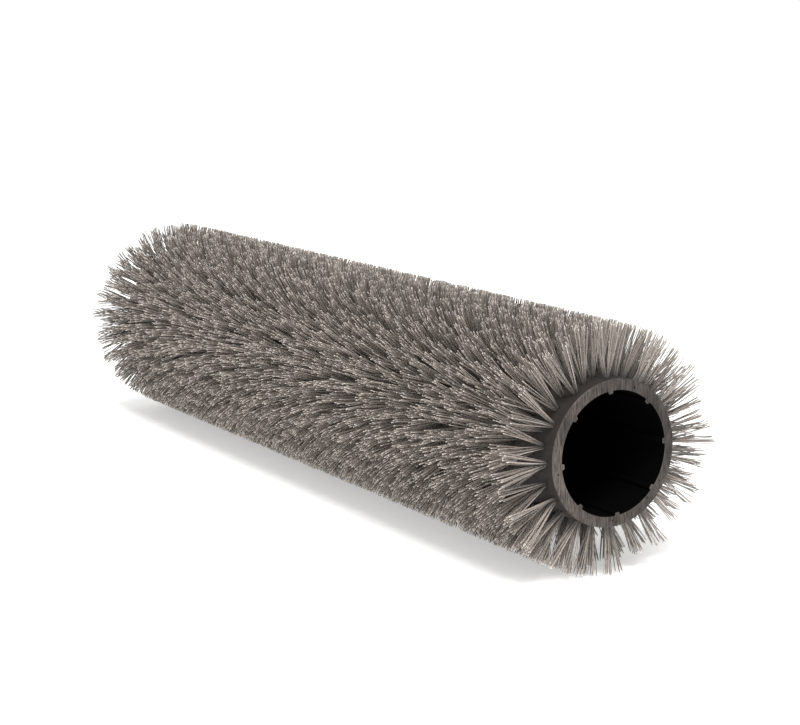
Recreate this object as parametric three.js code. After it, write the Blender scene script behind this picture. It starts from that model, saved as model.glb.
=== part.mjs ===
// Cylindrical brush of a carpet and floor sweeping machine: a keyed plastic tube core that
// carries helical rows of stapled bristle tufts.
//
// Millimetres, +Z up. The brush lies along Y with its near end at -Y. The origin is on the
// brush's axis, at the middle of the core.

import * as THREE from "three";

// Tube core
const coreLength = 800;
const boreDiameter = 100.5;
const coreWall = 8.75;
const edgeChamfer = 0.8;
const facetAngle = 3.75; // degrees of arc in one flat of a round surface

// Drive keys, ribs that run the whole length of the bore
const keyCount = 8;
const keyWidth = 4.8;
const keyHeight = 2.4;
const keyPhase = 5.2; // first key, degrees from +X towards +Z

// Tuft rows
const rowCount = 24;
const trimLength = 42.6; // bristle that stands out of the core
const helixLead = 748; // length in which a row goes once round, left-handed
const rowPhase = 13.3; // first row at the near end face, degrees from +X towards +Z
const tuftPitch = 11; // along the core, between tufts of one row
const tuftWidth = 6; // across one tuft where it leaves the core
const endMargin = 8.7; // from an end face to the middle of the nearest tuft
const endLean = 3; // how far the end tufts spread past their roots at the tips
const tipGap = 1.6; // between neighbouring rows at the tips
const rootGap = 0.3; // between a row and the core
const rowStepAngle = 15; // most that a row turns in one straight step, degrees

const boreRadius = boreDiameter / 2;
const coreRadius = boreRadius + coreWall;
const tipRadius = coreRadius + trimLength;

// Rows start in turn one tuft and half a tuft pitch further in, so tufts stand staggered.
const tuftSpan = coreLength - 2 * endMargin;
const fittedPitch = tuftSpan / Math.round(tuftSpan / tuftPitch);
const stagger = fittedPitch / 2;

const coreMaterial = new THREE.MeshStandardMaterial({ color: 0x3b3632, roughness: 0.55, metalness: 0 });
const bristleMaterial = new THREE.MeshStandardMaterial({ color: 0x8b837b, roughness: 0.7, metalness: 0 });

const radians = THREE.MathUtils.degToRad;

function polarPoint(radius, angle) {
  return new THREE.Vector2(radius * Math.cos(angle), radius * Math.sin(angle));
}

function arcPoints(radius, startAngle, endAngle) {
  const steps = Math.max(1, Math.ceil((endAngle - startAngle) / radians(facetAngle)));
  const points = [];
  for (let step = 0; step <= steps; step++) {
    points.push(polarPoint(radius, startAngle + ((endAngle - startAngle) * step) / steps));
  }
  return points;
}

function coreOutline() {
  const circle = arcPoints(coreRadius, 0, 2 * Math.PI);
  circle.pop();
  return new THREE.Shape(circle);
}

// The bore's wall from key to key, with each key as two corners at its inner face.
function boreOutline() {
  const keyStep = (2 * Math.PI) / keyCount;
  const baseHalfAngle = Math.asin(keyWidth / 2 / boreRadius);
  const innerFace = Math.sqrt(boreRadius ** 2 - (keyWidth / 2) ** 2) - keyHeight;
  const points = [];
  for (let key = 0; key < keyCount; key++) {
    const keyAngle = radians(keyPhase) + key * keyStep;
    for (const side of [-1, 1]) {
      const corner = new THREE.Vector2(innerFace, (side * keyWidth) / 2);
      points.push(corner.rotateAround(new THREE.Vector2(), keyAngle));
    }
    points.push(...arcPoints(boreRadius, keyAngle + baseHalfAngle, keyAngle + keyStep - baseHalfAngle));
  }
  return new THREE.Path(points);
}

function coreTube() {
  const outline = coreOutline();
  outline.holes.push(boreOutline());
  const geometry = new THREE.ExtrudeGeometry(outline, {
    depth: coreLength - 2 * edgeChamfer,
    bevelThickness: edgeChamfer,
    bevelSize: edgeChamfer,
    bevelOffset: -edgeChamfer,
    bevelSegments: 1,
  });
  geometry.translate(0, 0, edgeChamfer - coreLength / 2);
  const mesh = new THREE.Mesh(geometry, coreMaterial);
  mesh.name = "core_tube";
  return mesh;
}

// Closed solid through matching rings of corners, all counterclockwise seen from the last ring.
// A flank's diagonal runs from its inner corner on one ring to its outer corner on the next,
// so the facing flanks of two neighbouring rows bend alike and keep their gap.
function loft(rings) {
  const corners = rings[0].length;
  const points = rings.flat();
  const axisDistance = (point) => Math.hypot(point.x, point.y);
  const faces = [];
  for (let start = 0; start + corners < points.length; start += corners) {
    for (let corner = 0; corner < corners; corner++) {
      const a = start + corner;
      const b = start + ((corner + 1) % corners);
      const c = a + corners;
      const d = b + corners;
      if (axisDistance(points[a]) < axisDistance(points[b])) {
        faces.push(a, b, d, a, d, c);
      } else {
        faces.push(a, b, c, b, d, c);
      }
    }
  }
  const lastRing = points.length - corners;
  for (let corner = 1; corner + 1 < corners; corner++) {
    faces.push(0, corner + 1, corner);
    faces.push(lastRing, lastRing + corner, lastRing + corner + 1);
  }
  const geometry = new THREE.BufferGeometry().setFromPoints(points);
  geometry.setIndex(faces);
  geometry.computeVertexNormals();
  return geometry;
}

// Corners of a row's section, a wedge that widens from the tufts' roots to their tips.
function rowSection(stepAngle) {
  const tipWidth = (2 * Math.PI * tipRadius) / rowCount - tipGap;
  const rootHalfAngle = Math.asin(tuftWidth / 2 / coreRadius);
  const tipHalfAngle = tipWidth / 2 / tipRadius;
  const rootRadius = (coreRadius + rootGap) / Math.cos(stepAngle / 2 + rootHalfAngle);
  return [
    { radius: rootRadius, angle: -rootHalfAngle, lean: 0 },
    { radius: tipRadius, angle: -tipHalfAngle, lean: endLean },
    { radius: tipRadius, angle: 0, lean: endLean },
    { radius: tipRadius, angle: tipHalfAngle, lean: endLean },
    { radius: rootRadius, angle: rootHalfAngle, lean: 0 },
  ];
}

function tuftRow(row) {
  const firstTuft = endMargin + (row % 2 === 0 ? stagger : 0);
  const rootLength = coreLength - 2 * firstTuft + tuftWidth;
  const turn = (2 * Math.PI * rootLength) / helixLead;
  const steps = Math.ceil(turn / radians(rowStepAngle));
  const section = rowSection(turn / steps);
  const rowAngle = radians(rowPhase) + (2 * Math.PI * row) / rowCount;
  const rings = [];
  for (let step = 0; step <= steps; step++) {
    const z = (step / steps - 0.5) * rootLength;
    const twist = (2 * Math.PI * (coreLength / 2 - z)) / helixLead;
    const endSide = step === 0 ? -1 : step === steps ? 1 : 0;
    const ring = section.map(({ radius, angle, lean }) => {
      const { x, y } = polarPoint(radius, rowAngle + twist + angle);
      return new THREE.Vector3(x, y, z + endSide * lean);
    });
    rings.push(ring);
  }
  const mesh = new THREE.Mesh(loft(rings), bristleMaterial);
  mesh.name = `tuft_row_${String(row + 1).padStart(2, "0")}`;
  return mesh;
}

// Everything is made along Z with the near end up, then laid down along Y.
const brush = new THREE.Group();
brush.name = "sweeper_brush";
brush.add(coreTube());
for (let row = 0; row < rowCount; row++) {
  brush.add(tuftRow(row));
}
brush.rotation.x = Math.PI / 2;

export default brush;
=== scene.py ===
import math

import bpy
import numpy as np
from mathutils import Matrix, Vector
from mathutils.geometry import delaunay_2d_cdt


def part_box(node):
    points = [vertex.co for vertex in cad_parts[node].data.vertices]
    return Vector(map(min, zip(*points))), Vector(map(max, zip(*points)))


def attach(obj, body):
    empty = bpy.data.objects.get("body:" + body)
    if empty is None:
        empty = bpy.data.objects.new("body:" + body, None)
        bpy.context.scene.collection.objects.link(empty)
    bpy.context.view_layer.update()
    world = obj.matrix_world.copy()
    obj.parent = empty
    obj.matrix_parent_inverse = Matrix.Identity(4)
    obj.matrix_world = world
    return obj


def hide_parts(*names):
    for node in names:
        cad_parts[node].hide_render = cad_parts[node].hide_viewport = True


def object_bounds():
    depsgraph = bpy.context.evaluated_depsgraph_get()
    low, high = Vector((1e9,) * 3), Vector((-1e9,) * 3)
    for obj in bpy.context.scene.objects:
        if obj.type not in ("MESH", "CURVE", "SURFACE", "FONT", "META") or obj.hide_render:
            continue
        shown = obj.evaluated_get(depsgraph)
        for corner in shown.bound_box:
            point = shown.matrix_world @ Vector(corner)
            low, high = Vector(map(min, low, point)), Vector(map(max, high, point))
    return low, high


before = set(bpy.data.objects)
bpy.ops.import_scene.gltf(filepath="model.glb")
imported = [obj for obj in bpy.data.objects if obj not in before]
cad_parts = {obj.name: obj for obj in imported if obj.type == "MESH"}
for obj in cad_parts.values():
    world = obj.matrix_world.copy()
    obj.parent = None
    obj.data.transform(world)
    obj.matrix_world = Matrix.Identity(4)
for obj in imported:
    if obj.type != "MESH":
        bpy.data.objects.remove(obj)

# The brush lies along Y. Everything is in metres, and angles run from +X towards +Z.
cadLow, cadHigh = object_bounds()
coreLow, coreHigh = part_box("core_tube")
nearEnd = coreLow.y
coreLength = coreHigh.y - coreLow.y
coreRadius = (coreHigh.z - coreLow.z) / 2
tipRadius = (cadHigh.z - cadLow.z) / 2
rowNames = sorted(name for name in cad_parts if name.startswith("tuft_row_"))

# Where the tufts stand, shared by the drilled holes, the staples and the bristles.
tuftPattern = {
    "firstRowAngle": 13.3,    # degrees, at the near end face
    "lead": 0.748,            # length in which a row goes once round
    "pitch": 0.011,           # along the core, between tufts of one row
    "endMargin": 0.0087,      # from an end face to the nearest tuft
    "holeRadius": 0.0027,
    "holeDepth": 0.0042,
}
rowStep = 2 * math.pi / len(rowNames)
tuftSpan = coreLength - 2 * tuftPattern["endMargin"]
spacesInRow = round(tuftSpan / tuftPattern["pitch"])
pitch = tuftSpan / spacesInRow


def twistAt(y):
    return 2 * math.pi * (y - nearEnd) / tuftPattern["lead"]


def tuftPlaces(row):
    # rows start in turn half a pitch further in, and then have one tuft less
    setBack = row % 2 == 0
    step = np.arange(spacesInRow + (0 if setBack else 1)) + 0.5 * setBack
    y = nearEnd + tuftPattern["endMargin"] + step * pitch
    return y, math.radians(tuftPattern["firstRowAngle"]) + row * rowStep + twistAt(y)


def radialFrame(angle):
    # unit vectors out from the axis and round it
    out = np.stack([np.cos(angle), np.zeros_like(angle), np.sin(angle)], -1)
    around = np.stack([-np.sin(angle), np.zeros_like(angle), np.cos(angle)], -1)
    return out, around


alongAxis = np.array([0.0, 1.0, 0.0])


def meshObject(name, points, corners, sizes, materials, materialIndex=None, smooth=True, sharpAngle=40):
    # corners lists the points of every face in turn, and sizes says how many each face has
    mesh = bpy.data.meshes.new(name)
    mesh.vertices.add(len(points))
    mesh.vertices.foreach_set("co", np.asarray(points, np.float32).ravel())
    mesh.loops.add(len(corners))
    mesh.polygons.add(len(sizes))
    starts = np.concatenate([[0], np.cumsum(sizes)[:-1]])
    mesh.polygons.foreach_set("loop_start", starts.astype(np.int32))
    mesh.polygons.foreach_set("vertices", np.asarray(corners, np.int32))
    for material in materials:
        mesh.materials.append(material)
    if materialIndex is not None:
        mesh.polygons.foreach_set("material_index", np.asarray(materialIndex, np.int32))
    mesh.update(calc_edges=True)
    mesh.validate()
    if smooth:
        mesh.shade_smooth()
        mesh.set_sharp_from_angle(angle=math.radians(sharpAngle))
    piece = bpy.data.objects.new(name, mesh)
    bpy.context.scene.collection.objects.link(piece)
    return piece


def newMaterial(name, **values):
    material = bpy.data.materials.new(name)
    material.use_nodes = True
    shader = material.node_tree.nodes["Principled BSDF"]
    for socket, value in values.items():
        shader.inputs[socket.replace("_", " ")].default_value = value
    return material, shader


def addNode(material, kind, **values):
    node = material.node_tree.nodes.new(kind)
    for key, value in values.items():
        if hasattr(node, key):
            setattr(node, key, value)
        else:
            node.inputs[key.replace("_", " ")].default_value = value
    return node


def link(material, source, target):
    material.node_tree.links.new(source, target)


def colorRamp(material, source, stops):
    ramp = addNode(material, "ShaderNodeValToRGB")
    elements = ramp.color_ramp.elements
    while len(elements) < len(stops):
        elements.new(0.5)
    for element, (position, color) in zip(elements, stops):
        element.position = position
        element.color = (*color, 1)
    link(material, source, ramp.inputs["Fac"])
    return ramp.outputs["Color"]


def tones(material, source, between, shares, color=(1, 1, 1)):
    # the colour times one share at each value of the source
    stops = [(value, tuple(share * c for c in color)) for value, share in zip(between, shares)]
    return colorRamp(material, source, stops)


def objectNoise(material, scale, detail=3.0, stretch=(1, 1, 1), roughness=0.5):
    place = addNode(material, "ShaderNodeTexCoord")
    spread = addNode(material, "ShaderNodeMapping")
    spread.inputs["Scale"].default_value = stretch
    noise = addNode(material, "ShaderNodeTexNoise", Scale=scale, Detail=detail, Roughness=roughness)
    link(material, place.outputs["Object"], spread.inputs["Vector"])
    link(material, spread.outputs["Vector"], noise.inputs["Vector"])
    return noise.outputs["Fac"]


def multiplyColors(material, a, b):
    mix = addNode(material, "ShaderNodeMix", data_type="RGBA", blend_type="MULTIPLY")
    mix.inputs["Factor"].default_value = 1
    link(material, a, mix.inputs["A"])
    link(material, b, mix.inputs["B"])
    return mix.outputs["Result"]


def bumpFrom(material, shader, height, strength, distance):
    bump = addNode(material, "ShaderNodeBump", Strength=strength, Distance=distance)
    link(material, height, bump.inputs["Height"])
    link(material, bump.outputs["Normal"], shader.inputs["Normal"])


cameraSetup = {
    "fromNearEnd": (-0.8936, -1.1356, 0.3458),    # from the middle of the near end face
    "turnedRight": 31.6,                          # degrees from +Y towards +X
    "lookingDown": 10.8,
    "lens": 85.6,                                 # mm
    "sensor": 36,                                 # mm
    "clipStart": 0.05,
}


def makeCamera():
    data = bpy.data.cameras.new("camera")
    data.lens = cameraSetup["lens"]
    data.sensor_width = cameraSetup["sensor"]
    data.clip_start = cameraSetup["clipStart"]
    camera = bpy.data.objects.new("camera", data)
    camera.location = Vector((0, nearEnd, 0)) + Vector(cameraSetup["fromNearEnd"])
    tilt = math.radians(90 - cameraSetup["lookingDown"])
    camera.rotation_euler = (tilt, 0, -math.radians(cameraSetup["turnedRight"]))
    bpy.context.scene.collection.objects.link(camera)
    bpy.context.scene.camera = camera


makeCamera()
print("camera ready")


bristles = {
    "endsPerTuft": 16,          # even, half of them on each side of the staple
    "thickness": 0.00080,
    "sides": 5,
    # heights of the rings, as shares of the way from the core's surface to the tip
    "rings": (-0.08, 0.0, 0.3, 0.6, 0.85, 0.985, 1.0),
    "tipTaper": 0.8,
    "rootGap": 0.0011,          # from the staple to the middle of each half, round the core
    "rootReach": 0.0011,        # half the width of each half where it leaves its hole
    "opening": (0.0022, 0.0100),    # least and most way of a half from the tuft's middle, at the tips
    "halfAround": 0.0038,       # half the width of each half at the tips, round the core
    "halfAlong": 0.0050,        # and along it
    "openSide": 210,            # degrees, the side on which the tufts have opened most
    "openChange": 0.12,         # by how much they open more there, and less opposite
    "endOpen": 0.40,            # there the tufts nearest the ends open by this much more
    "endAlike": 0.75,           # and all of them nearly as far
    "endReach": 0.016,          # from the ends to where that has faded
    "endLean": 0.0022,          # how far the end tufts lean out
    "leanAround": 0.0015,       # how far whole tufts wander at their tips
    "leanAlong": 0.0017,
    "wander": 0.0008,           # and single bristles
    "bow": 0.0005,
    "underside": -65,           # degrees, the side with pressed tufts
    "undersideWidth": 30,       # degrees
    "undersideLean": 0.0040,    # they are pushed aside
    "undersideShut": 0.4,       # stay more closed
    "undersideShort": 0.0110,   # and some of them are bent short
    "strayShare": 0.02,
    "strayReach": 0.0060,
    "trimError": 0.0004,
    "shortShare": 0.06,
    "shortBy": 0.005,
    "seed": 7,
    # painted shade: the bristles are painted darker towards their roots, where shade falls between the
    # tufts
    "rootShadeColor": (0.075, 0.066, 0.059),
    "bodyColor": (0.290, 0.253, 0.223),
    # pale tips: partly worn, frayed ends, partly a painted highlight of the lit cut ends
    "tipPaleAndHighlight": (0.52, 0.475, 0.425),
    "bodyFrom": 0.35,           # share of the length where the root's painted shade has gone
    "tipFrom": (0.955, 0.985),  # and where the pale tip with its painted highlight begins and is full
    "tuftShades": 0.04,         # how unlike each other whole tufts are, from 0 to 1
    "bristleShades": 0.29,      # and the bristles of one tuft
    "shadeShares": (0.38, 0.95, 1.42),    # darkest, middle and lightest bristle, of the colour
    "gritScale": 1000,
    "gritBetween": (0.33, 0.67),
    "gritShares": (0.58, 1.4),
    "gritBump": (0.35, 0.0002),    # strength and height
    "roughness": 0.5,
    "ior": 1.5,
}


def bristleMaterial():
    values = {"Roughness": bristles["roughness"], "IOR": bristles["ior"]}
    material, shader = newMaterial("grittyNylon", **values)
    along = addNode(material, "ShaderNodeAttribute", attribute_name="along")
    shade = addNode(material, "ShaderNodeAttribute", attribute_name="shade")
    stops = [
        # painted shade at the roots, then the bristle's own colour
        (0.0, bristles["rootShadeColor"]),
        (bristles["bodyFrom"], bristles["bodyColor"]),
        (bristles["tipFrom"][0], bristles["bodyColor"]),
        # pale tips, partly worn and partly a painted highlight
        (bristles["tipFrom"][1], bristles["tipPaleAndHighlight"]),
    ]
    body = colorRamp(material, along.outputs["Fac"], stops)
    spread = tones(material, shade.outputs["Fac"], (0, 0.5, 1), bristles["shadeShares"])
    grit = objectNoise(material, bristles["gritScale"], roughness=0.6)
    speckle = tones(material, grit, bristles["gritBetween"], bristles["gritShares"])
    color = multiplyColors(material, body, spread)
    color = multiplyColors(material, color, speckle)
    link(material, color, shader.inputs["Base Color"])
    bumpFrom(material, shader, grit, *bristles["gritBump"])
    return material


def sunflower(count):
    # evenly packed places in a unit disc
    step = np.arange(count)
    reach = np.sqrt((step + 0.5) / count)
    turn = step * math.pi * (3 - math.sqrt(5))
    return reach, turn


def bristleLines(row, rng):
    # points of every bristle of a row, as tufts x ends x rings x 3, and where they are along it
    y, angle = tuftPlaces(row)
    tufts, half = len(y), bristles["endsPerTuft"] // 2
    out, around = radialFrame(angle)
    side = np.array([-1.0, 1.0])[:, None]
    reach, turn = sunflower(half)
    turn = turn + rng.uniform(0, 2 * math.pi, (tufts, 2, 1))
    packed = np.stack([reach * np.cos(turn), reach * np.sin(turn)], -1)

    # offsets from the tuft's middle line, first round the core and then along it
    root = packed * bristles["rootReach"]
    root[..., 0] += side * bristles["rootGap"]
    towards = np.cos(angle - math.radians(bristles["openSide"]))
    under = (angle - math.radians(bristles["underside"]) + math.pi) % (2 * math.pi) - math.pi
    under = np.exp(-((under / math.radians(bristles["undersideWidth"])) ** 2))
    free = np.exp(-(((coreLength / 2 - np.abs(y)) / bristles["endReach"]) ** 2))
    wide = free * (0.5 + 0.5 * towards) * (1 - under)
    openness = (1 + bristles["openChange"] * towards) * (1 + bristles["endOpen"] * wide)
    openness = (openness * (1 - bristles["undersideShut"] * under))[:, None, None]
    opening = rng.uniform(*bristles["opening"], (tufts, 2, 1))
    opening += (bristles["opening"][1] - opening) * bristles["endAlike"] * wide[:, None, None]
    tip = packed * np.array([bristles["halfAround"], bristles["halfAlong"]])
    tip[..., 0] += side * opening
    tip[..., 0] *= openness
    tip[..., 1] += rng.normal(0, bristles["leanAlong"], (tufts, 2, 1))
    tip[..., 0] += bristles["undersideLean"] * under[:, None, None]
    tip[..., 1] += (bristles["endLean"] * free * np.sign(y))[:, None, None]
    tip += rng.normal(0, 1, (tufts, 1, 1, 2)) * (bristles["leanAround"], bristles["leanAlong"])
    tip += rng.normal(0, bristles["wander"], tip.shape)
    stray = rng.random(tip.shape[:3] + (1,)) < bristles["strayShare"]
    tip += stray * rng.uniform(-1, 1, tip.shape) * bristles["strayReach"]
    bow = rng.normal(0, bristles["bow"], tip.shape)

    ends = (tufts, 2 * half)
    root, tip, bow = (offset.reshape(*ends, 2) for offset in (root, tip, bow))
    length = tipRadius - np.abs(rng.normal(0, bristles["trimError"], ends))
    short = rng.random(ends) < bristles["shortShare"]
    length -= short * rng.uniform(0, bristles["shortBy"], ends)
    length -= bristles["undersideShort"] * (under * rng.random(tufts))[:, None]
    tipHeight = np.sqrt(length ** 2 - tip[..., 0] ** 2)

    share = np.array(bristles["rings"])
    height = coreRadius + (tipHeight - coreRadius)[..., None] * share
    way = np.clip(share, 0, 1)[:, None]
    offset = root[:, :, None] + (tip - root)[:, :, None] * way + bow[:, :, None] * np.sin(np.pi * way)
    points = height[..., None] * out[:, None, None] + offset[..., :1] * around[:, None, None]
    points = points + (y[:, None, None, None] + offset[..., 1:]) * alongAxis
    return points, np.broadcast_to(way[:, 0], points.shape[:3])


def tubesAlong(lines):
    # a closed round tube along every line, as points, corners and sizes of faces
    rings = lines.shape[2]
    sides = bristles["sides"]
    lines = lines.reshape(-1, rings, 3)
    way = lines[:, -1] - lines[:, 1]
    way = way / np.linalg.norm(way, axis=1, keepdims=True)
    first = np.cross(way, alongAxis)
    first = first / np.linalg.norm(first, axis=1, keepdims=True)
    second = np.cross(way, first)
    turn = np.arange(sides) * 2 * math.pi / sides
    circle = np.cos(turn)[:, None] * first[:, None] + np.sin(turn)[:, None] * second[:, None]
    radius = np.full(rings, bristles["thickness"] / 2)
    radius[-1] *= bristles["tipTaper"]
    points = lines[:, :, None] + radius[:, None, None] * circle[:, None]

    count = len(lines)
    ring, side = np.meshgrid(np.arange(rings - 1), np.arange(sides), indexing="ij")
    low, nextLow = ring * sides + side, ring * sides + (side + 1) % sides
    wall = np.stack([low, nextLow, nextLow + sides, low + sides], -1).reshape(-1, 4)
    tipCap = (rings - 1) * sides + np.arange(sides)
    rootCap = np.arange(sides)[::-1]
    single = np.concatenate([wall.ravel(), tipCap, rootCap])
    corners = (np.arange(count)[:, None] * rings * sides + single).ravel()
    sizes = np.tile([4] * len(wall) + [sides, sides], count)
    return points.reshape(-1, 3), corners, sizes


def addFloats(piece, name, values):
    attribute = piece.data.attributes.new(name, "FLOAT", "POINT")
    attribute.data.foreach_set("value", np.ascontiguousarray(values, np.float32).ravel())


# places in the baked map: shade across, way from root to tip upwards
bakeLayout = {
    "across": (0.02, 0.96),    # least value and width
    "up": (0.03, 0.92),
    "tipCap": 0.98,
    "rootCap": 0.015,
    "round": 0.012,            # how far the sides of one bristle spread
}


def bakeMap(piece, along, shade):
    # bristles that look alike share a place
    sides = bristles["sides"]
    rings = len(bristles["rings"])
    corner = np.empty(len(piece.data.loops), np.int32)
    piece.data.loops.foreach_get("vertex_index", corner)
    turn = 2 * math.pi * (corner % sides) / sides
    across = bakeLayout["across"][0] + bakeLayout["across"][1] * shade[corner]
    across = across + bakeLayout["round"] * np.cos(turn)
    up = bakeLayout["up"][0] + bakeLayout["up"][1] * along[corner]
    perBristle = 4 * sides * (rings - 1) + 2 * sides
    place = np.arange(len(corner)) % perBristle
    tipCap = (place >= perBristle - 2 * sides) & (place < perBristle - sides)
    rootCap = place >= perBristle - sides
    up = np.where(tipCap, bakeLayout["tipCap"] + bakeLayout["round"] * np.sin(turn), up)
    up = np.where(rootCap, bakeLayout["rootCap"] + bakeLayout["round"] * np.sin(turn), up)
    layer = piece.data.uv_layers.new(name="OFBake")
    layer.data.foreach_set("uv", np.stack([across, up], -1).astype(np.float32).ravel())


def makeBristleRow(row, material):
    rng = np.random.default_rng([bristles["seed"], row])
    lines, along = bristleLines(row, rng)
    points, corners, sizes = tubesAlong(lines)
    tufts, ends = lines.shape[:2]
    tuftShade = rng.normal(0.5, bristles["tuftShades"], (tufts, 1))
    shade = np.clip(tuftShade + rng.normal(0, bristles["bristleShades"], (tufts, ends)), 0, 1)
    name = f"bristles_{row + 1:02d}"
    piece = meshObject(name, points, corners, sizes, [material], sharpAngle=60)
    perBristle = bristles["sides"] * len(bristles["rings"])
    shade = np.repeat(shade.ravel(), perBristle)
    along = np.repeat(along.ravel(), bristles["sides"])
    addFloats(piece, "along", along)
    addFloats(piece, "shade", shade)
    bakeMap(piece, along, shade)
    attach(piece, "root")
    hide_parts(rowNames[row])


nylon = bristleMaterial()
for row in range(len(rowNames)):
    makeBristleRow(row, nylon)
print("bristle rows ready")


staples = {
    "wire": 0.0009,
    "width": 0.0040,            # along the core
    "depth": 0.0012,            # from the core's surface to the crown
    "driven": 0.0006,           # how far the legs go into the bottom of the hole
    "cornerPoints": 3,
    "corner": 0.0007,
    "sides": 6,
    "color": (0.42, 0.41, 0.40),
    "drawnScale": 2500,
    "drawnShares": (0.7, 1),
    "roughness": 0.35,
}


def wireMaterial():
    material, shader = newMaterial("stapleWire", Metallic=1.0, Roughness=staples["roughness"])
    drawn = objectNoise(material, staples["drawnScale"], detail=2)
    color = tones(material, drawn, (0.3, 0.7), staples["drawnShares"], staples["color"])
    link(material, color, shader.inputs["Base Color"])
    return material


def stapleShape():
    # middle line of one staple, as height under the core's surface and place along the core
    half, bend = staples["width"] / 2, staples["corner"]
    turns = np.linspace(0, math.pi / 2, staples["cornerPoints"])
    heights = -staples["depth"] - bend * (1 - np.sin(turns))
    places = half - bend * (1 - np.cos(turns))
    leg = [(-tuftPattern["holeDepth"] - staples["driven"], half)] + list(zip(heights, places))
    return np.array([(height, -side) for height, side in leg] + leg[::-1])


def makeStaples():
    line = stapleShape()
    step = np.gradient(line, axis=0)
    step = step / np.linalg.norm(step, axis=1, keepdims=True)
    turn = np.arange(staples["sides"]) * 2 * math.pi / staples["sides"]
    radius = staples["wire"] / 2
    # every ring is square to the wire, in the plane of the staple and out of it
    inPlane = np.stack([-step[:, 1], step[:, 0]], -1)
    flat = line[:, None] + radius * np.cos(turn)[:, None] * inPlane[:, None]
    across = np.broadcast_to(radius * np.sin(turn), flat.shape[:2])
    points = []
    for row in range(len(rowNames)):
        y, angle = tuftPlaces(row)
        out, around = radialFrame(angle)
        height = (coreRadius + flat[..., 0])[None, ..., None] * out[:, None, None]
        points.append(height + across[None, ..., None] * around[:, None, None]
                      + (y[:, None, None, None] + flat[None, ..., 1:]) * alongAxis)
    points = np.concatenate(points)
    count, rings, sides = points.shape[:3]
    wall = []
    for ring in range(rings - 1):
        for side in range(sides):
            after = (side + 1) % sides
            a, b = ring * sides + side, ring * sides + after
            wall.append((a, b, b + sides, a + sides))
    caps = [list(range(sides))[::-1], [(rings - 1) * sides + side for side in range(sides)]]
    single = np.array(sum(wall, ()) + tuple(sum(caps, [])))
    corners = (np.arange(count)[:, None] * rings * sides + single).ravel()
    sizes = np.tile([4] * len(wall) + [sides, sides], count)
    piece = meshObject("staples", points.reshape(-1, 3), corners, sizes, [wireMaterial()])
    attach(piece, "root")


makeStaples()
print("staples ready")


core = {
    "boreRadius": 0.05025,
    "chamfer": 0.0008,
    "keys": 8,
    "firstKeyAngle": 5.2,       # degrees
    "keyBase": 0.0050,          # width at the bore's wall
    "keyTip": 0.0038,           # and at the inner face
    "keyHeight": 0.0024,
    "keyEase": (0.0005, 0.0001),    # corners eased, outwards and sideways
    "keyFlat": 0.75,            # share of the inner face that stays flat
    "columnsPerRow": 4,
    "holeSides": 16,
    "boreStep": 2.0,            # degrees between points of the bore's wall
    # small open bubbles in the sawn faces: distance from the axis, degrees, radius
    "bubbles": [
        (0.0541, 190.6, 0.0010),
        (0.0537, 69.6, 0.0008),
        (0.0528, -49.3, 0.0009),
        (0.0533, -31.0, 0.0007),
        (0.0537, -90.4, 0.0007),
    ],
    "bubbleSides": 10,
    "bubbleDepth": 4,           # in radii
    "bubbleFoot": 0.7,          # the bottom's radius, as a share of the rim's
}

# finishes of the core, each noise as its scale, the values it lies between, and its shares; the bore's
# near black colour is painted shade and the sawn face has a painted sheen
tubeFinish = {
    "color": (0.020, 0.0155, 0.0130),
    "roughness": 0.55,
    "ior": 1.48,
    "cloud": (60, (0.3, 0.7), (0.8, 1.25)),
    "drawnScale": 700,
    "drawnStretch": (1, 0.05, 1),
    "drawnBump": (0.25, 0.0003),    # strength and height
}
sawnFinish = {
    "color": (0.050, 0.0415, 0.0365),
    "roughness": 0.5,
    "ior": 1.3,
    "lines": (700, (0.36, 0.64), (0.25, 1.75)),
    "linesStretch": (1, 1, 0.12),
    "linesBump": (0.4, 0.0002),
    "cloud": (45, (0.35, 0.65), (0.6, 1.4)),
    "cloudStretch": (1, 1, 0.5),
    "sheenSideShares": (1.4, 0.95, 0.9),    # painted sheen: shares at -X, in the middle and at +X, lighter towards the lamp at the front left
}
boreFinishAndShade = {
    # painted shade: near black, standing in for the unlit inside of the bore
    "color": (0.0002, 0.0002, 0.0002),
    "roughness": 0.8,
    "ior": 1.15,
    "dust": (260, (0.5, 0.9), (1, 6)),
}


def tubeMaterial():
    values = {"Roughness": tubeFinish["roughness"], "IOR": tubeFinish["ior"]}
    material, shader = newMaterial("mouldedTube", **values)
    scale, between, shares = tubeFinish["cloud"]
    cloud = objectNoise(material, scale, detail=5)
    color = tones(material, cloud, between, shares, tubeFinish["color"])
    link(material, color, shader.inputs["Base Color"])
    stretch = tubeFinish["drawnStretch"]
    drawn = objectNoise(material, tubeFinish["drawnScale"], detail=2, stretch=stretch)
    bumpFrom(material, shader, drawn, *tubeFinish["drawnBump"])
    return material


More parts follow.
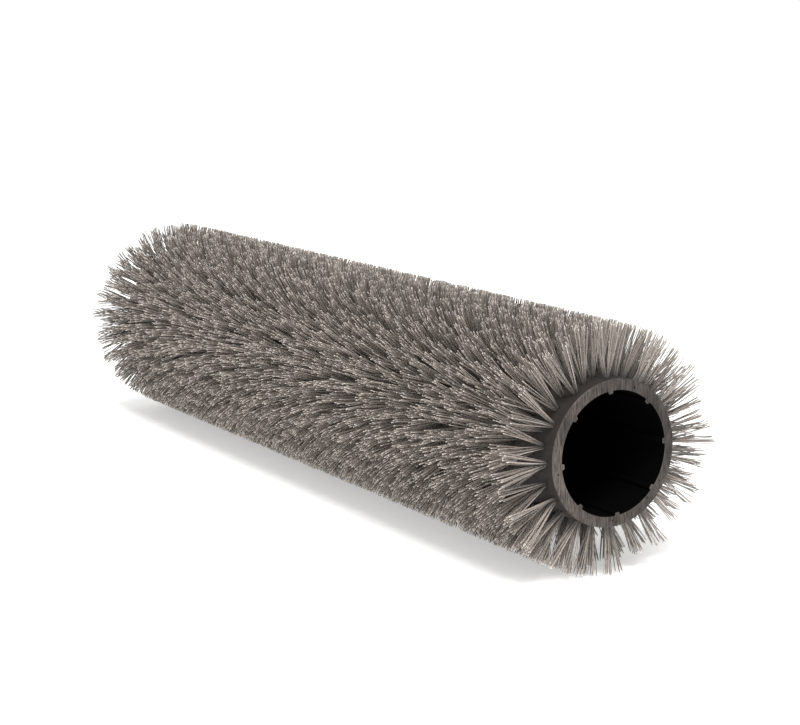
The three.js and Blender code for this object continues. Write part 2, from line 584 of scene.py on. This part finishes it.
def sawnMaterial():
    # upright saw lines, and a painted sheen that makes the -X side lighter, towards the lamp at the
    # front left
    values = {"Roughness": sawnFinish["roughness"], "IOR": sawnFinish["ior"]}
    material, shader = newMaterial("sawnEnd", **values)
    lineScale, lineBetween, lineShares = sawnFinish["lines"]
    cloudScale, cloudBetween, cloudShares = sawnFinish["cloud"]
    stretch = sawnFinish["linesStretch"]
    lines = objectNoise(material, lineScale, detail=4, stretch=stretch, roughness=0.75)
    cloud = objectNoise(material, cloudScale, detail=4, stretch=sawnFinish["cloudStretch"])
    fine = tones(material, lines, lineBetween, lineShares)
    broad = tones(material, cloud, cloudBetween, cloudShares, sawnFinish["color"])
    place = addNode(material, "ShaderNodeTexCoord")
    parts = addNode(material, "ShaderNodeSeparateXYZ")
    across = addNode(material, "ShaderNodeMapRange", From_Min=-coreRadius, From_Max=coreRadius)
    link(material, place.outputs["Object"], parts.inputs["Vector"])
    link(material, parts.outputs["X"], across.inputs["Value"])
    # painted sheen: the sawn face is painted lighter towards -X, where the front left lamp would catch
    # it
    paintedSheen = tones(material, across.outputs["Result"], (0, 0.5, 1), sawnFinish["sheenSideShares"])
    color = multiplyColors(material, broad, fine)
    color = multiplyColors(material, color, paintedSheen)
    link(material, color, shader.inputs["Base Color"])
    bumpFrom(material, shader, lines, *sawnFinish["linesBump"])
    return material


def boreMaterial():
    values = {"Roughness": boreFinishAndShade["roughness"], "IOR": boreFinishAndShade["ior"]}
    material, shader = newMaterial("boreWall", **values)
    scale, between, shares = boreFinishAndShade["dust"]
    dust = objectNoise(material, scale, detail=4)
    # painted shade: the bore wall is painted near black
    color = tones(material, dust, between, shares, boreFinishAndShade["color"])
    link(material, color, shader.inputs["Base Color"])
    return material


class FaceList:
    # points and faces, gathered piece by piece

    def __init__(self):
        self.points = []
        self.corners = []
        self.sizes = []
        self.material = []

    def addPoint(self, point):
        self.points.append(point)
        return len(self.points) - 1

    def addFace(self, corners, material):
        self.corners.extend(corners)
        self.sizes.append(len(corners))
        self.material.append(material)


def onTube(radius, angle, y):
    turned = angle + twistAt(y) + math.radians(tuftPattern["firstRowAngle"])
    return (radius * math.cos(turned), y, radius * math.sin(turned))


def zipLoops(faces, outer, outerTurn, inner, innerTurn, material, flip=False):
    # triangles between two closed loops, both in order of turn
    i = j = 0
    while i < len(outer) or j < len(inner):
        nextOuter = outerTurn[(i + 1) % len(outer)] + 2 * math.pi * ((i + 1) // len(outer))
        nextInner = innerTurn[(j + 1) % len(inner)] + 2 * math.pi * ((j + 1) // len(inner))
        a, b = outer[i % len(outer)], inner[j % len(inner)]
        if j >= len(inner) or (i < len(outer) and nextOuter <= nextInner):
            triangle = (a, outer[(i + 1) % len(outer)], b)
            i += 1
        else:
            triangle = (a, inner[(j + 1) % len(inner)], b)
            j += 1
        faces.addFace(triangle[::-1] if flip else triangle, material)


def boreLoop():
    # radius and angle of every point round the bore with its tapered keys
    loop = []
    keyStep = 2 * math.pi / core["keys"]
    baseTurn = math.asin(core["keyBase"] / 2 / core["boreRadius"])
    innerFace = core["boreRadius"] - core["keyHeight"]
    tipTurn = math.atan(core["keyTip"] / 2 / innerFace)
    flatTurn = core["keyFlat"] * tipTurn
    eased = math.hypot(innerFace, core["keyTip"] / 2) + core["keyEase"][0]
    easedTurn = tipTurn + core["keyEase"][1] / innerFace
    for key in range(core["keys"]):
        middle = math.radians(core["firstKeyAngle"]) + key * keyStep
        loop.append((core["boreRadius"], middle - baseTurn))
        loop.append((eased, middle - easedTurn))
        loop.append((innerFace, middle - flatTurn))
        loop.append((innerFace, middle + flatTurn))
        loop.append((eased, middle + easedTurn))
        steps = math.ceil(math.degrees(keyStep - 2 * baseTurn) / core["boreStep"])
        for step in range(steps):
            share = step / steps
            loop.append((core["boreRadius"], middle + baseTurn + share * (keyStep - 2 * baseTurn)))
    return loop


def coreOuterFaces(faces):
    # a net of columns that follow the rows, with points half a pitch apart along it
    columns = core["columnsPerRow"] * len(rowNames)
    columnStep = 2 * math.pi / columns
    half = core["columnsPerRow"] // 2
    firstLevel = nearEnd + tuftPattern["endMargin"] - pitch / 2
    lastLevel = 2 * spacesInRow + 2
    known = {}

    def netPoint(column, level):
        key = (column % columns, level)
        if key not in known:
            y = firstLevel + level * pitch / 2
            known[key] = faces.addPoint(onTube(coreRadius, (column - half) * columnStep, y))
        return known[key]

    def drilledCell(column, level, row, y):
        low = [netPoint(column + i, level) for i in range(core["columnsPerRow"] + 1)]
        high = [netPoint(column + i, level + 2) for i in range(core["columnsPerRow"] + 1)]
        edge = low + [netPoint(column + core["columnsPerRow"], level + 1)] + high[::-1]
        edge = edge + [netPoint(column, level + 1)]
        angle = row * rowStep + twistAt(y) + math.radians(tuftPattern["firstRowAngle"])
        out, around = radialFrame(np.array(angle))
        sides = core["holeSides"]
        turns = -math.pi + 2 * math.pi * (np.arange(sides) + 0.5) / sides
        rim, foot = [], []
        for turn in turns:
            side = tuftPattern["holeRadius"] * math.cos(turn)
            up = tuftPattern["holeRadius"] * math.sin(turn)
            surface = math.sqrt(coreRadius ** 2 - side ** 2)
            flat = side * around + (y + up) * alongAxis
            rim.append(faces.addPoint(surface * out + flat))
            foot.append(faces.addPoint((coreRadius - tuftPattern["holeDepth"]) * out + flat))
        places = np.array([faces.points[i] for i in edge])
        edgeSide, edgeUp = places @ around, places[:, 1] - y
        edgeTurn = np.arctan2(edgeUp, edgeSide)
        order = np.argsort(edgeTurn)
        edge = [edge[i] for i in order]
        zipLoops(faces, edge, edgeTurn[order], rim, turns, 0, flip=True)
        for i in range(sides):
            j = (i + 1) % sides
            faces.addFace((rim[j], rim[i], foot[i], foot[j]), 0)
        faces.addFace(foot[::-1], 0)

    def plainBand(column, level, nextLevel):
        for i in range(core["columnsPerRow"]):
            a, b = netPoint(column + i, level), netPoint(column + i + 1, level)
            c, d = netPoint(column + i + 1, nextLevel), netPoint(column + i, nextLevel)
            faces.addFace((d, c, b, a), 0)

    for row in range(len(rowNames)):
        column = row * core["columnsPerRow"]
        setBack = row % 2 == 0
        for tuft, y in enumerate(tuftPlaces(row)[0]):
            drilledCell(column, 2 * tuft + setBack, row, y)
        if setBack:
            plainBand(column, 0, 1)
            plainBand(column, lastLevel - 1, lastLevel)
    return [[netPoint(column, level) for column in range(columns)] for level in (0, lastLevel)]


def coreEnd(faces, edgeRing, sign, bore):
    # last stretch of the outside, the chamfer and the sawn face of one end
    columns = len(edgeRing)
    endY = sign * coreLength / 2
    start = np.array(faces.points[edgeRing[0]])
    firstTurn = math.atan2(start[2], start[0])
    turns = firstTurn + np.arange(columns) * 2 * math.pi / columns
    rings = [list(edgeRing)]
    for radius, y in ((coreRadius, endY - sign * core["chamfer"]), (coreRadius - core["chamfer"], endY)):
        rings.append([faces.addPoint((radius * math.cos(t), y, radius * math.sin(t))) for t in turns])
    for ring, (a, b) in enumerate(zip(rings, rings[1:])):
        for i in range(columns):
            j = (i + 1) % columns
            quad = (a[i], a[j], b[j], b[i]) if sign < 0 else (b[i], b[j], a[j], a[i])
            faces.addFace(quad, ring)
    inner = [faces.addPoint((r * math.cos(t), endY, r * math.sin(t))) for r, t in bore]
    endFace(faces, rings[-1], inner, sign, bore)
    return inner


def bubbleRim(faces, bubble, sign):
    # one open bubble, walls and bottom, and the loop of points where it meets the end face
    reach, degrees, radius = bubble
    endY = sign * coreLength / 2
    bottomY = endY - sign * core["bubbleDepth"] * radius
    middleX = reach * math.cos(math.radians(degrees))
    middleZ = reach * math.sin(math.radians(degrees))
    sides = core["bubbleSides"]
    rim, foot = [], []
    for side in range(sides):
        turn = 2 * math.pi * side / sides
        x, z = radius * math.cos(turn), radius * math.sin(turn)
        rim.append(faces.addPoint((middleX + x, endY, middleZ + z)))
        x, z = core["bubbleFoot"] * x, core["bubbleFoot"] * z
        foot.append(faces.addPoint((middleX + x, bottomY, middleZ + z)))
    for side in range(sides):
        after = (side + 1) % sides
        quad = (rim[after], rim[side], foot[side], foot[after])
        faces.addFace(quad if sign > 0 else quad[::-1], 1)
    faces.addFace(foot if sign < 0 else foot[::-1], 1)
    return rim


def endFace(faces, outer, inner, sign, bore):
    # the sawn face between the chamfer and the bore, round its open bubbles
    loops = [outer, inner] + [bubbleRim(faces, bubble, sign) for bubble in core["bubbles"]]
    flat, owner, edges = [], [], []
    for number, loop in enumerate(loops):
        first = len(flat)
        flat += loop
        owner += [number] * len(loop)
        edges += [(first + i, first + (i + 1) % len(loop)) for i in range(len(loop))]
    places = [Vector((faces.points[i][0], faces.points[i][2])) for i in flat]
    found, _, triangles, origins, _, _ = delaunay_2d_cdt(places, edges, [], 0, 1e-7)
    radii, turns = np.array(bore + [(bore[0][0], bore[0][1] + 2 * math.pi)]).T
    for triangle in triangles:
        corners = [origins[i][0] for i in triangle]
        loopsMet = {owner[i] for i in corners}
        inBubble = len(loopsMet) == 1 and min(loopsMet) > 1
        middle = sum((found[i] for i in triangle), Vector((0, 0))) / 3
        turn = (math.atan2(middle.y, middle.x) - turns[0]) % (2 * math.pi) + turns[0]
        if inBubble or middle.length < np.interp(turn, turns, radii):
            continue
        corners = [flat[i] for i in corners]
        faces.addFace(corners if sign < 0 else corners[::-1], 1)


def makeCore():
    faces = FaceList()
    nearRing, farRing = coreOuterFaces(faces)
    bore = boreLoop()
    nearInner = coreEnd(faces, nearRing, -1, bore)
    farInner = coreEnd(faces, farRing, 1, bore)
    for i in range(len(bore)):
        j = (i + 1) % len(bore)
        faces.addFace((nearInner[i], nearInner[j], farInner[j], farInner[i]), 2)
    materials = [tubeMaterial(), sawnMaterial(), boreMaterial()]
    tube = (faces.points, faces.corners, faces.sizes)
    piece = meshObject("core", *tube, materials, faces.material, sharpAngle=32)
    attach(piece, "root")
    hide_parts("core_tube")


makeCore()
print("core ready")


studio = {
    "floorSize": 400.0,
    "floorColor": (0.88, 0.88, 0.88),
    "floorGlow": 0.4,           # light that the floor gives by itself
    "sky": (1.1, 0.65),         # strength at the horizon and overhead
    "skyFades": (0.02, 0.25),   # heights between which it changes
    "overhead": {"turn": (24, -14, 0), "strength": 2.8, "softness": 25},    # degrees
    "frontLeft": {"place": (-2.2, -1.4, 0.15), "size": 1.6, "watts": 12},
}


def makeFloor():
    reach = studio["floorSize"] / 2
    outline = [(-reach, -reach), (reach, -reach), (reach, reach), (-reach, reach)]
    points = [(x, y, -tipRadius) for x, y in outline]
    material, shader = newMaterial("paleFloor", Roughness=0.9)
    cloud = objectNoise(material, 3, detail=2)
    color = tones(material, cloud, (0, 1), (1, 1.02), studio["floorColor"])
    link(material, color, shader.inputs["Base Color"])
    shader.inputs["Emission Color"].default_value = (1, 1, 1, 1)
    shader.inputs["Emission Strength"].default_value = studio["floorGlow"]
    floor = meshObject("floor", points, [0, 1, 2, 3], [4], [material], smooth=False)


def makeLights():
    world = bpy.data.worlds.new("studio")
    world.use_nodes = True
    nodes, links = world.node_tree.nodes, world.node_tree.links
    place = nodes.new("ShaderNodeTexCoord")
    parts = nodes.new("ShaderNodeSeparateXYZ")
    height = nodes.new("ShaderNodeMapRange")
    height.inputs["From Min"].default_value = studio["skyFades"][0]
    height.inputs["From Max"].default_value = studio["skyFades"][1]
    height.inputs["To Min"].default_value = studio["sky"][0]
    height.inputs["To Max"].default_value = studio["sky"][1]
    links.new(place.outputs["Generated"], parts.inputs["Vector"])
    links.new(parts.outputs["Z"], height.inputs["Value"])
    links.new(height.outputs["Result"], nodes["Background"].inputs["Strength"])
    nodes["Background"].inputs["Color"].default_value = (1, 1, 1, 1)
    bpy.context.scene.world = world
    over = studio["overhead"]
    data = bpy.data.lights.new("overhead", "SUN")
    data.energy = over["strength"]
    data.angle = math.radians(over["softness"])
    sun = bpy.data.objects.new("overhead", data)
    sun.rotation_euler = [math.radians(a) for a in over["turn"]]
    bpy.context.scene.collection.objects.link(sun)
    front = studio["frontLeft"]
    data = bpy.data.lights.new("frontLeft", "AREA")
    data.shape = "DISK"
    data.size = front["size"]
    data.energy = front["watts"]
    light = bpy.data.objects.new("frontLeft", data)
    light.location = front["place"]
    light.rotation_euler = (-Vector(front["place"])).to_track_quat("-Z", "Y").to_euler()
    bpy.context.scene.collection.objects.link(light)
    bpy.context.scene.view_settings.view_transform = "Standard"


makeFloor()
makeLights()
print("floor and light ready")
